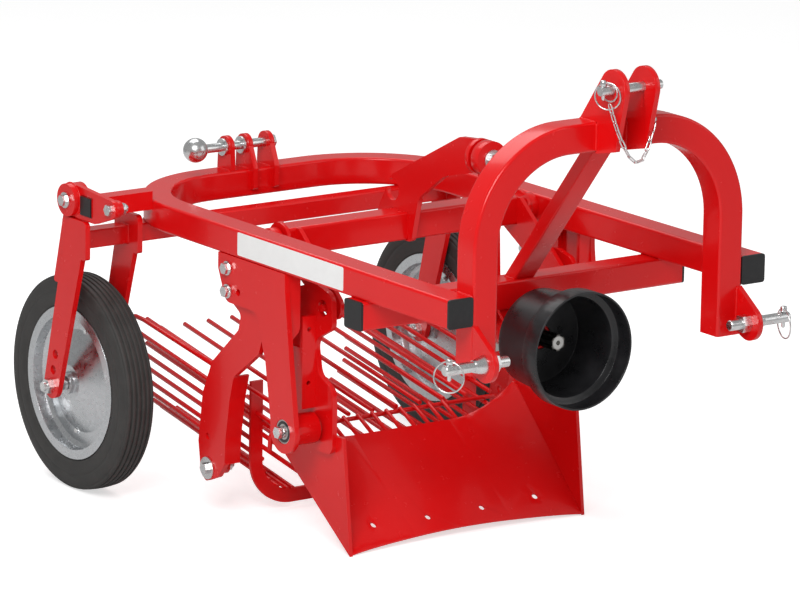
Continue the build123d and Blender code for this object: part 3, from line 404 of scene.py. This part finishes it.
def hex_head(base, axis, radius, height):
    """A chamfered hexagon head, from its base outward along an axis."""
    shape = bmesh.new()
    flat = radius * cos(pi / 6)
    chamfer = (radius - flat) * 0.55
    for n in range(6):
        angle = n * pi / 3
        for level in (chamfer * 0.4, height - chamfer):
            shape.verts.new((level, radius * cos(angle), radius * sin(angle)))
    for n in range(36):
        angle = n * pi / 18
        for level in (0.0, height):
            shape.verts.new((level, flat * 0.97 * cos(angle), flat * 0.97 * sin(angle)))
    bmesh.ops.convex_hull(shape, input=shape.verts)
    bmesh.ops.dissolve_limit(shape, angle_limit=radians(1), verts=shape.verts, edges=shape.edges)
    place = Vector(axis).normalized().to_track_quat("X", "Z").to_matrix()
    shape.verts.index_update()
    vertices = [Vector(base) + place @ v.co for v in shape.verts]
    faces = [tuple(v.index for v in face.verts) for face in shape.faces]
    shape.free()
    return vertices, faces


def ring_path(centre, normal, radius, steps=72):
    """Points on a circle."""
    normal = Vector(normal).normalized()
    up = (Vector((0, 0, 1)) - normal * normal.z).normalized()
    across = up.cross(normal)
    angles = [2 * pi * n / steps for n in range(steps)]
    return [Vector(centre) + (up * cos(a) + across * sin(a)) * radius for a in angles]


# ---------------------------------------------------------------- tyres
tread_half = 29.0 * MM
groove_places = (-23.0, -11.5, 0.0, 11.5, 23.0)      # mm from the middle of the tread
groove_half = 1.9 * MM
groove_depth = 4.2 * MM
crown_radius = 235.0 * MM
crown_inset = 0.30 * MM          # keeps the ribs inside the CAD tyre
crown_fall = 2.6                 # metres of fall for each square metre off the middle


def crown(w):
    return crown_radius - crown_inset - crown_fall * (w * w)


def tyre_profile():
    """Half round section (along, radius) from one bead over the tread to the other."""
    wall = [
        # mm from the middle, mm from the axle
        (31.0, 151.0), (31.0, 166.5), (32.4, 168.6), (34.4, 169.8), (35.4, 171.6), (35.0, 174.0),
        (35.6, 176.6), (36.8, 181.0), (37.6, 187.0), (37.9, 193.0), (37.9, 198.6), (37.2, 199.6),
        (37.2, 201.4), (37.9, 202.4), (37.9, 209.0), (37.4, 215.0), (36.3, 220.0), (35.0, 223.6),
        (33.6, 225.4), (32.6, 226.2), (32.2, 227.4), (32.6, 228.8), (31.8, 230.4), (30.4, 231.6),
    ]
    side = [(w * MM, r * MM) for w, r in wall]
    tread = []
    for place in groove_places:
        middle = place * MM
        for w, sink in ((-1.6, 0.0), (-1.15, 0.12), (-0.95, 0.5), (-0.7, 1.0), (0.7, 1.0), (0.95, 0.5),
                        (1.15, 0.12), (1.6, 0.0)):
            reach = middle + w * groove_half
            tread.append((reach, crown(reach) - sink * groove_depth))
        between = middle + 5.75 * MM
        if abs(between) < tread_half:
            tread.append((between, crown(between) + 0.15 * MM))
    return [(-w, r) for w, r in side] + tread + side[::-1]


def add_tyres():
    for name, body in (("tyre_left", "wheel_left"), ("tyre_right", "wheel_right")):
        low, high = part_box(name)
        centre = (low + high) / 2
        vertices, faces = turned(tyre_profile(), centre, (1, 0, 0), steps=160)
        piece = add_piece(name + "_ribbed", vertices, faces, "tyre_rubber", body)
        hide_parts(name)


# ---------------------------------------------------------------- bolts on the discs
disc_bolt_circle = 115.0 * MM
disc_bolt_degrees = (100, 278)   # from straight rearward, upward
disc_half_sheet = 2.0 * MM
washer_seat = 1.4 * MM
bolt_head_radius = 6.0 * MM
bolt_head_height = 4.6 * MM
# Sections, each point (along the bolt, from its axis)
disc_washer = [
    (0, 4 * MM), (0, 8.0 * MM), (1.0 * MM, 8.2 * MM), (1.5 * MM, 7.7 * MM), (1.5 * MM, 4 * MM),
]
bolt_tip = [
    (5.6 * MM, 0.5 * MM), (5.6 * MM, 2.9 * MM), (8.0 * MM, 2.9 * MM), (8.8 * MM, 2.2 * MM),
    (8.8 * MM, 0.5 * MM),
]


def add_disc_bolts():
    for name, body, outward in (("left", "wheel_left", -1), ("right", "wheel_right", 1)):
        low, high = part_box("wheel_disc_" + name)
        centre = (low + high) / 2
        shapes = []
        for degrees in disc_bolt_degrees:
            angle = radians(degrees)
            spot = centre + Vector((0, cos(angle), sin(angle))) * disc_bolt_circle
            for side in (-1, 1):
                axis = (side, 0, 0)
                face = spot + Vector(axis) * disc_half_sheet
                head_base = face + Vector(axis) * washer_seat
                shapes.append(turned(disc_washer, face, axis, steps=32))
                shapes.append(hex_head(head_base, axis, bolt_head_radius, bolt_head_height))
                if side != outward:
                    shapes.append(turned(bolt_tip, face, axis, steps=20))
        vertices, faces = joined(*shapes)
        add_piece("disc_bolts_" + name, vertices, faces, "zinc_plate", body, smooth=False)


# ---------------------------------------------------------------- linch pins, rings and chain
def linch_pin(spot, pin_radius, ring_normal, ring_radius, ring_turn=0.0):
    """A linch pin through a pin at a spot: shank, head with a cross eye, and its snap ring."""
    up = Vector((0, 0, 1))
    shank = [
        # mm along, mm radius
        (-1.75, 0.6), (-1.72, 2.6), (-1.55, 3.9), (-1.3, 4.1), (1.0, 4.1),
    ]
    profile = [(a * pin_radius * 1.15, r * MM) for a, r in shank]
    head_low = pin_radius * 1.02
    profile += [(head_low, 6.4 * MM), (head_low + 1.2 * MM, 7.2 * MM), (head_low + 9.5 * MM, 7.2 * MM),
                (head_low + 12.0 * MM, 5.6 * MM), (head_low + 12.6 * MM, 0.6 * MM)]
    shapes = [turned(profile, spot, up, steps=28, closed=False)]
    eye = Vector(spot) + up * (head_low + 6.2 * MM)
    normal = Vector(ring_normal).normalized()
    hang = (Vector((0, 0, 1)) - normal * normal.z).normalized()
    turn = Matrix.Rotation(ring_turn, 3, normal)
    centre = eye - turn @ hang * ring_radius
    shapes.append(wire(ring_path(centre, normal, ring_radius), 1.7 * MM, closed=True))
    return joined(*shapes)


def add_lower_linch_pins():
    for name, side, ring_normal in (("left", -1, (-0.80, -0.60, 0.1)), ("right", 1, (0.90, -0.22, 0.05))):
        low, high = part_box("lower_link_pin_" + name)
        middle = (low + high) / 2
        end = low.x if side < 0 else high.x
        spot = Vector((end - side * 13 * MM, middle.y, middle.z))
        vertices, faces = linch_pin(spot, 11 * MM, ring_normal, 31 * MM)
        add_piece("linch_pin_" + name, vertices, faces, "zinc_plate", "chassis")


chain_pitch = 19.5 * MM
chain_bow = 14.0 * MM             # how far the chain hangs clear ahead of the plates
chain_wire = 1.55 * MM
chain_link_half_width = 4.6 * MM


def chain_link(centre, along, flat):
    """One long link: two straight runs and two round ends."""
    along = along.normalized()
    flat = (flat - along * flat.dot(along)).normalized()
    reach = chain_pitch / 2 + chain_wire - chain_link_half_width
    path = []
    for end in (1, -1):
        for n in range(9):
            angle = -pi / 2 + pi * n / 8
            path.append(
                centre
                + along * end * (reach + chain_link_half_width * cos(angle))
                + flat * end * chain_link_half_width * sin(angle)
            )
    return wire(path, chain_wire, sides=8, closed=True)


def hanging_curve(start, end, sag, steps=200):
    """Points on a slack chain between two places: a parabola by how low it hangs under its lower end."""
    lowest = min(start.z, end.z) - sag
    drop_start = start.z - lowest
    drop_end = end.z - lowest
    share = sqrt(drop_start) / (sqrt(drop_start) + sqrt(drop_end))
    points = []
    for n in range(steps + 1):
        t = n / steps
        if t < share:
            lift = drop_start * ((share - t) / share) ** 2
        else:
            lift = drop_end * ((t - share) / (1 - share)) ** 2
        spot = start.lerp(end, t)
        spot.z = lowest + lift
        points.append(spot)
    return points


def add_top_pin_fittings():
    low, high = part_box("top_link_pin")
    middle = (low + high) / 2
    pin_radius = 9.5 * MM
    ring_radius = 17 * MM
    ring_wire = 1.8 * MM
    spot = Vector((low.x + 9 * MM, middle.y, middle.z))
    shapes = [linch_pin(spot, pin_radius, (-0.85, -0.52, 0.0), 27 * MM, 0.35)]
    # The chain's own ring goes round the pin beside the plate
    plate_low, plate_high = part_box("top_link_plates")
    ring_x = plate_low.x - 6 * MM
    ring_centre = Vector((ring_x, middle.y, middle.z - ring_radius + pin_radius + ring_wire))
    shapes.append(wire(ring_path(ring_centre, (-0.94, -0.30, 0.12), ring_radius), ring_wire, closed=True))
    vertices, faces = joined(*shapes)
    add_piece("top_pin_rings", vertices, faces, "zinc_plate", "chassis")

    start = Vector((plate_low.x - 18 * MM, middle.y - 18 * MM, middle.z - 32 * MM))
    end = Vector((plate_high.x + 5 * MM, middle.y - 18 * MM, middle.z - 68 * MM))
    curve = hanging_curve(start, end, 76 * MM)
    for n, spot in enumerate(curve):
        spot.y -= chain_bow * sin(pi * n / (len(curve) - 1))
    links = []
    travelled, next_link, twist = 0.0, 0.0, 0
    for before, after in zip(curve, curve[1:]):
        travelled += (after - before).length
        if travelled >= next_link:
            flat = Vector((0, 1, 0)) if twist % 2 else Vector((1, 0, 0)).cross(after - before)
            wobble = Matrix.Rotation(0.35 * noise.noise(Vector((twist * 1.7, 0.3, 0.9))), 3, after - before)
            links.append(chain_link(after, after - before, wobble @ flat))
            next_link += chain_pitch
            twist += 1
    vertices, faces = joined(*links)
    add_piece("top_pin_chain", vertices, faces, "zinc_plate", "chassis")
    stud = [(0, 0.5 * MM), (0, 4.5 * MM), (3.0 * MM, 5.0 * MM), (7.5 * MM, 4.6 * MM), (8.6 * MM, 0.5 * MM)]
    seat = Vector((plate_high.x, end.y, end.z + 3 * MM))
    vertices, faces = turned(stud, seat, (1, 0, 0), steps=24, closed=False)
    add_piece("chain_stud", vertices, faces, "zinc_plate", "chassis")


# ---------------------------------------------------------------- weld beads
def bead_points(corners, step=1.1 * MM):
    """Points along straight runs between corners."""
    points = []
    for a, b in zip(corners, corners[1:]):
        count = max(2, int((b - a).length / step))
        points += [a.lerp(b, n / count) for n in range(count)]
    return points + [corners[-1]]


def weld_bead(corners, radius=2.7, seed=0.0):
    """A rippled bead, painted over with the rest."""
    points = bead_points([Vector(c) * MM for c in corners])
    count = len(points)
    radii, path = [], []
    for n, point in enumerate(points):
        ripple = 0.86 + 0.14 * abs(sin(n * 0.62 + seed))
        drift = 1 + 0.16 * noise.noise(point * 60 + Vector((seed, 0, 0)))
        ends = min(1.0, 0.35 + min(n, count - 1 - n) * 0.22)
        radii.append(radius * MM * ripple * drift * ends)
        shake = noise.noise_vector(point * 90 + Vector((0, seed, 0))) * 0.35 * MM
        path.append(point + shake)
    return wire(path, radii, sides=8)


def ring_bead(centre, radius, bead=2.4, seed=0.0):
    """A bead round a tube or boss whose axis is X."""
    x, y, z = centre
    corners = [(x, y + radius * cos(n * pi / 18), z + radius * sin(n * pi / 18)) for n in range(37)]
    return weld_bead(corners, bead, seed)


def square_bead(x, low_y, high_y, low_z, high_z, seed=0.0):
    """A bead round a square tube that meets a plate at x."""
    loop = ((low_y, low_z), (high_y, low_z), (high_y, high_z), (low_y, high_z), (low_y, low_z))
    corners = [(x, y, z) for y, z in loop]
    return weld_bead(corners, 2.3, seed)


def box_mm(name):
    low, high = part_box(name)
    return low / MM, high / MM


def add_weld_beads():
    rail_low, rail_high = box_mm("main_frame")
    arch_low, arch_high = box_mm("hitch_arch")
    bar_low, bar_high = box_mm("front_crossbar")
    beam_low, beam_high = box_mm("axle_beam")
    top_low, top_high = box_mm("top_link_plates")
    legs_high = box_mm("wheel_legs_left")[1]
    tube = 60
    plate = 12
    middle_lug = 48
    seat_inner, seat_outer = 312, 362      # where the beam lies under the frame's bend
    rail_inner = rail_high.x - tube
    beads = []
    for side in (-1, 1):
        seed = 3.0 + side
        # top link plates on the arch, inside and outside
        for x in (top_high.x + 0.6, top_high.x - plate - 0.6):
            beads.append(weld_bead([
                (side * x, arch_low.y - 0.4, top_low.z + 5), (side * x, arch_low.y - 0.4, arch_high.z - 7),
                (side * x, arch_low.y + 6, arch_high.z - 0.2), (side * x, arch_high.y - 5, arch_high.z + 0.2),
            ], seed=seed + x))
        # lower link plates on the arch's legs
        beads.append(weld_bead([
            (side * (rail_inner - plate - 0.4), arch_low.y - 0.4, arch_low.z + 8),
            (side * (rail_inner - plate - 0.4), arch_low.y - 0.4, rail_low.z - 2),
        ], seed=seed))
        # arch legs in the rails' corners, above and below
        for z in (rail_high.z - 1.2, rail_low.z + 0.6):
            beads.append(weld_bead([
                (side * (rail_inner - 0.3), arch_low.y + 3, z),
                (side * (rail_inner - 0.3), arch_high.y - 3, z),
            ], 3.4, seed=seed + z))
        beads.append(weld_bead([
            (side * (rail_inner - 0.4), arch_high.y + 0.6, rail_low.z + 4),
            (side * (rail_inner - 0.4), arch_high.y + 0.6, rail_high.z - 4),
        ], 3.0, seed=seed + 9))
        # crossbar under the rails
        for y in (bar_low.y + 1.0, bar_high.y - 1.0):
            beads.append(weld_bead([
                (side * (rail_inner + 3), y, bar_high.z + 0.2),
                (side * (rail_high.x - 4), y, bar_high.z + 0.2),
            ], 3.2, seed=seed + y))
        # axle beam in the carriers' legs
        for x in (beam_high.x - 0.6, plate - legs_high.x + 0.4, -legs_high.x - 0.4):
            beads.append(square_bead(side * x, beam_low.y, beam_high.y, beam_low.z, beam_high.z, seed + x))
        # axle beam under the frame's bend
        for y in (beam_low.y, beam_high.y):
            beads.append(weld_bead([
                (side * seat_inner, y, beam_high.z + 0.3), (side * seat_outer, y, beam_high.z + 0.3),
            ], 2.8, seed=seed + y))
    # brace on the crossbar and under the arch
    brace_low, brace_high = box_mm("mast_brace")
    for x in (brace_low.x, brace_high.x):
        beads.append(weld_bead([
            (x, bar_low.y + 10, bar_high.z + 0.4), (x, brace_high.y, bar_high.z + 0.4),
        ], seed=x))
    beads.append(weld_bead([
        (brace_low.x, bar_low.y + 10, bar_high.z + 0.4), (brace_high.x, bar_low.y + 10, bar_high.z + 0.4),
    ], seed=1.5))
    # rear lugs on the tube
    lug_low, lug_high = box_mm("rear_lugs")
    for x in (lug_low.x, lug_low.x + plate, lug_low.x + middle_lug,
              lug_low.x + middle_lug + plate, lug_high.x - plate, lug_high.x):
        beads.append(weld_bead([
            (x, lug_high.y - 50, rail_high.z + 0.2), (x, lug_high.y - 3, rail_high.z + 0.2),
        ], 2.4, seed=x))
    # the link's boss and strip
    link_low, link_high = box_mm("wheel_link_left")
    link_boss_radius = 35
    link_boss_setback = 76.3
    boss = (link_low.x + 14, link_high.y - link_boss_setback, link_high.z - link_boss_radius)
    beads.append(ring_bead(boss, link_boss_radius + 0.4, seed=2.0))
    vertices, faces = joined(*beads)
    add_piece("frame_weld_beads", vertices, faces, "red_paint", "chassis")

    # bearing housings on the hangers
    pivot_low, pivot_high = box_mm("share_pivots")
    pivot = (pivot_low + pivot_high) / 2
    beads = [
        ring_bead((side * (rail_high.x - plate - 0.6), pivot.y, pivot.z), 33.4, seed=5.0 + side)
        for side in (-1, 1)
    ]
    vertices, faces = joined(*beads)
    add_piece("housing_weld_beads", vertices, faces, "red_paint", "chassis")


# ---------------------------------------------------------------- label
label_thick = 0.35 * MM
label_front = 357 * MM           # behind the rail's front end
label_rear = 740 * MM
label_corner = 4 * MM
label_above_foot = 6.5 * MM      # above the rail's underside
label_below_top = 4.5 * MM
label_shrink_along = 0.998       # the outer face against the edge, which slopes
label_shrink_across = 0.975


def add_label():
    """A blank label along the outer face of the left-hand rail."""
    rail_low, rail_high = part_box("main_frame")
    front = rail_low.y + label_front
    rear = rail_low.y + label_rear
    low = rail_low.z + label_above_foot
    high = rail_high.z - label_below_top
    corner_table = (  # centre's y, centre's z, the arc's first angle
        (rear - label_corner, high - label_corner, 0),
        (front + label_corner, high - label_corner, 90),
        (front + label_corner, low + label_corner, 180),
        (rear - label_corner, low + label_corner, 270),
    )
    outline = []
    for y, z, first_angle in corner_table:
        for n in range(7):
            angle = radians(first_angle + n * 15)
            outline.append((y + label_corner * cos(angle), z + label_corner * sin(angle)))
    count = len(outline)
    face_x = rail_low.x
    vertices = [Vector((face_x + 0.1 * MM, y, z)) for y, z in outline]
    vertices += [Vector((face_x - label_thick * 0.7, y, z)) for y, z in outline]
    middle_y, middle_z = (front + rear) / 2, (low + high) / 2
    for y, z in outline:
        inner_y = middle_y + (y - middle_y) * label_shrink_along
        inner_z = middle_z + (z - middle_z) * label_shrink_across
        vertices.append(Vector((face_x - label_thick, inner_y, inner_z)))
    faces = [tuple(range(2 * count, 3 * count))]
    for level in (0, 1):
        for n in range(count):
            after = (n + 1) % count
            here, there = level * count, (level + 1) * count
            faces.append((here + n, here + after, there + after, there + n))
    add_piece("side_label", vertices, faces, "label_vinyl", "chassis", smooth=False)


# ---------------------------------------------------------------- bearings' seals
# Sections, each point (along the pivot, from its axis)
seal_section = [
    (-0.5 * MM, 16.2 * MM), (0.25 * MM, 16.4 * MM), (0.45 * MM, 17.6 * MM), (0.30 * MM, 19.6 * MM),
    (0.50 * MM, 21.4 * MM), (0.20 * MM, 22.6 * MM), (-0.5 * MM, 22.8 * MM),
]
race_section = [
    (-0.5 * MM, 23.4 * MM), (0.35 * MM, 23.6 * MM), (0.55 * MM, 24.2 * MM), (0.55 * MM, 25.2 * MM),
    (0.1 * MM, 25.9 * MM), (-0.5 * MM, 25.9 * MM),
]


def add_bearing_seals():
    """Dark seals between the rings of the share's bearings, and the rings' bright edges."""
    hanger_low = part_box("hanger_right")[0]
    bearing_low, bearing_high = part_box("share_bearings")
    centre_y = (bearing_low.y + bearing_high.y) / 2
    centre_z = (bearing_low.z + bearing_high.z) / 2
    seals, races = [], []
    for side in (-1, 1):
        for x, outward in ((bearing_high.x, side), (hanger_low.x + 2 * MM, -side)):
            spot = Vector((side * x, centre_y, centre_z))
            seals.append(turned(seal_section, spot, (outward, 0, 0), steps=96))
            races.append(turned(race_section, spot, (outward, 0, 0), steps=96))
    vertices, faces = joined(*seals)
    add_piece("bearing_seals", vertices, faces, "guard_plastic", "chassis")
    vertices, faces = joined(*races)
    add_piece("bearing_outer_rings", vertices, faces, "bearing_steel", "chassis")


# ---------------------------------------------------------------- stage
world_level = 0.36               # what the world lights with
world_seen = 1.1                 # what the camera sees of it: pure white
floor_seen = 0.62                # added to the floor where the camera sees it


def add_stage():
    """A white floor that keeps the shadow, a white world, and three soft lamps."""
    floor_size = 40.0
    mesh = bpy.data.meshes.new("floor")
    half = floor_size / 2
    mesh.from_pydata([(-half, -half, 0), (half, -half, 0), (half, half, 0), (-half, half, 0)],
                     [], [(0, 1, 2, 3)])
    floor = bpy.data.objects.new("floor", mesh)
    scene.collection.objects.link(floor)
    n = Nodes("floor")
    n.colour(n.ramp(n.noise(2.0, 4.0), (0.80, 0.80, 0.80, 1), (0.82, 0.82, 0.82, 1)))
    n.fixed(Roughness=0.6)
    path = n.add("ShaderNodeLightPath")
    glow = n.add("ShaderNodeEmission")
    seen = n.add("ShaderNodeMath", operation="MULTIPLY")
    seen.inputs[1].default_value = floor_seen
    n.link(path.outputs["Is Camera Ray"], seen.inputs[0])
    n.link(seen.outputs["Value"], glow.inputs["Strength"])
    both = n.add("ShaderNodeAddShader")
    n.link(n.shader.outputs["BSDF"], both.inputs[0])
    n.link(glow.outputs["Emission"], both.inputs[1])
    n.link(both.outputs["Shader"], n.tree.nodes["Material Output"].inputs["Surface"])
    mesh.materials.append(n.material)

    world = bpy.data.worlds.new("studio")
    world.use_nodes = True
    scene.world = world
    background = world.node_tree.nodes["Background"]
    background.inputs["Color"].default_value = (1, 1, 1, 1)
    rays = world.node_tree.nodes.new("ShaderNodeLightPath")
    level = world.node_tree.nodes.new("ShaderNodeMath")
    level.operation = "MULTIPLY_ADD"
    level.inputs[1].default_value = world_seen - world_level
    level.inputs[2].default_value = world_level
    world.node_tree.links.new(rays.outputs["Is Camera Ray"], level.inputs[0])
    world.node_tree.links.new(level.outputs["Value"], background.inputs["Strength"])

    lamp_table = (  # name, place, size, watts
        ("key", (-3.0, -2.6, 3.6), 2.2, 150.0),
        ("fill", (3.4, -3.4, 2.4), 3.0, 26.0),
        ("top", (0.3, 2.2, 4.2), 3.0, 60.0),
    )
    for name, place, size, watts in lamp_table:
        lamp = bpy.data.lights.new(name, "AREA")
        lamp.size = size
        lamp.energy = watts
        holder = bpy.data.objects.new(name, lamp)
        holder.location = place
        aim = Vector((0, 0, 0.4)) - Vector(place)
        holder.rotation_euler = aim.to_track_quat("-Z", "Y").to_euler()
        scene.collection.objects.link(holder)


# ---------------------------------------------------------------- put together
scene.view_settings.view_transform = "Standard"
add_camera()
add_stage()
dress_cad_nodes()
add_tyres()
add_disc_bolts()
add_lower_linch_pins()
add_top_pin_fittings()
add_weld_beads()
add_label()
add_bearing_seals()
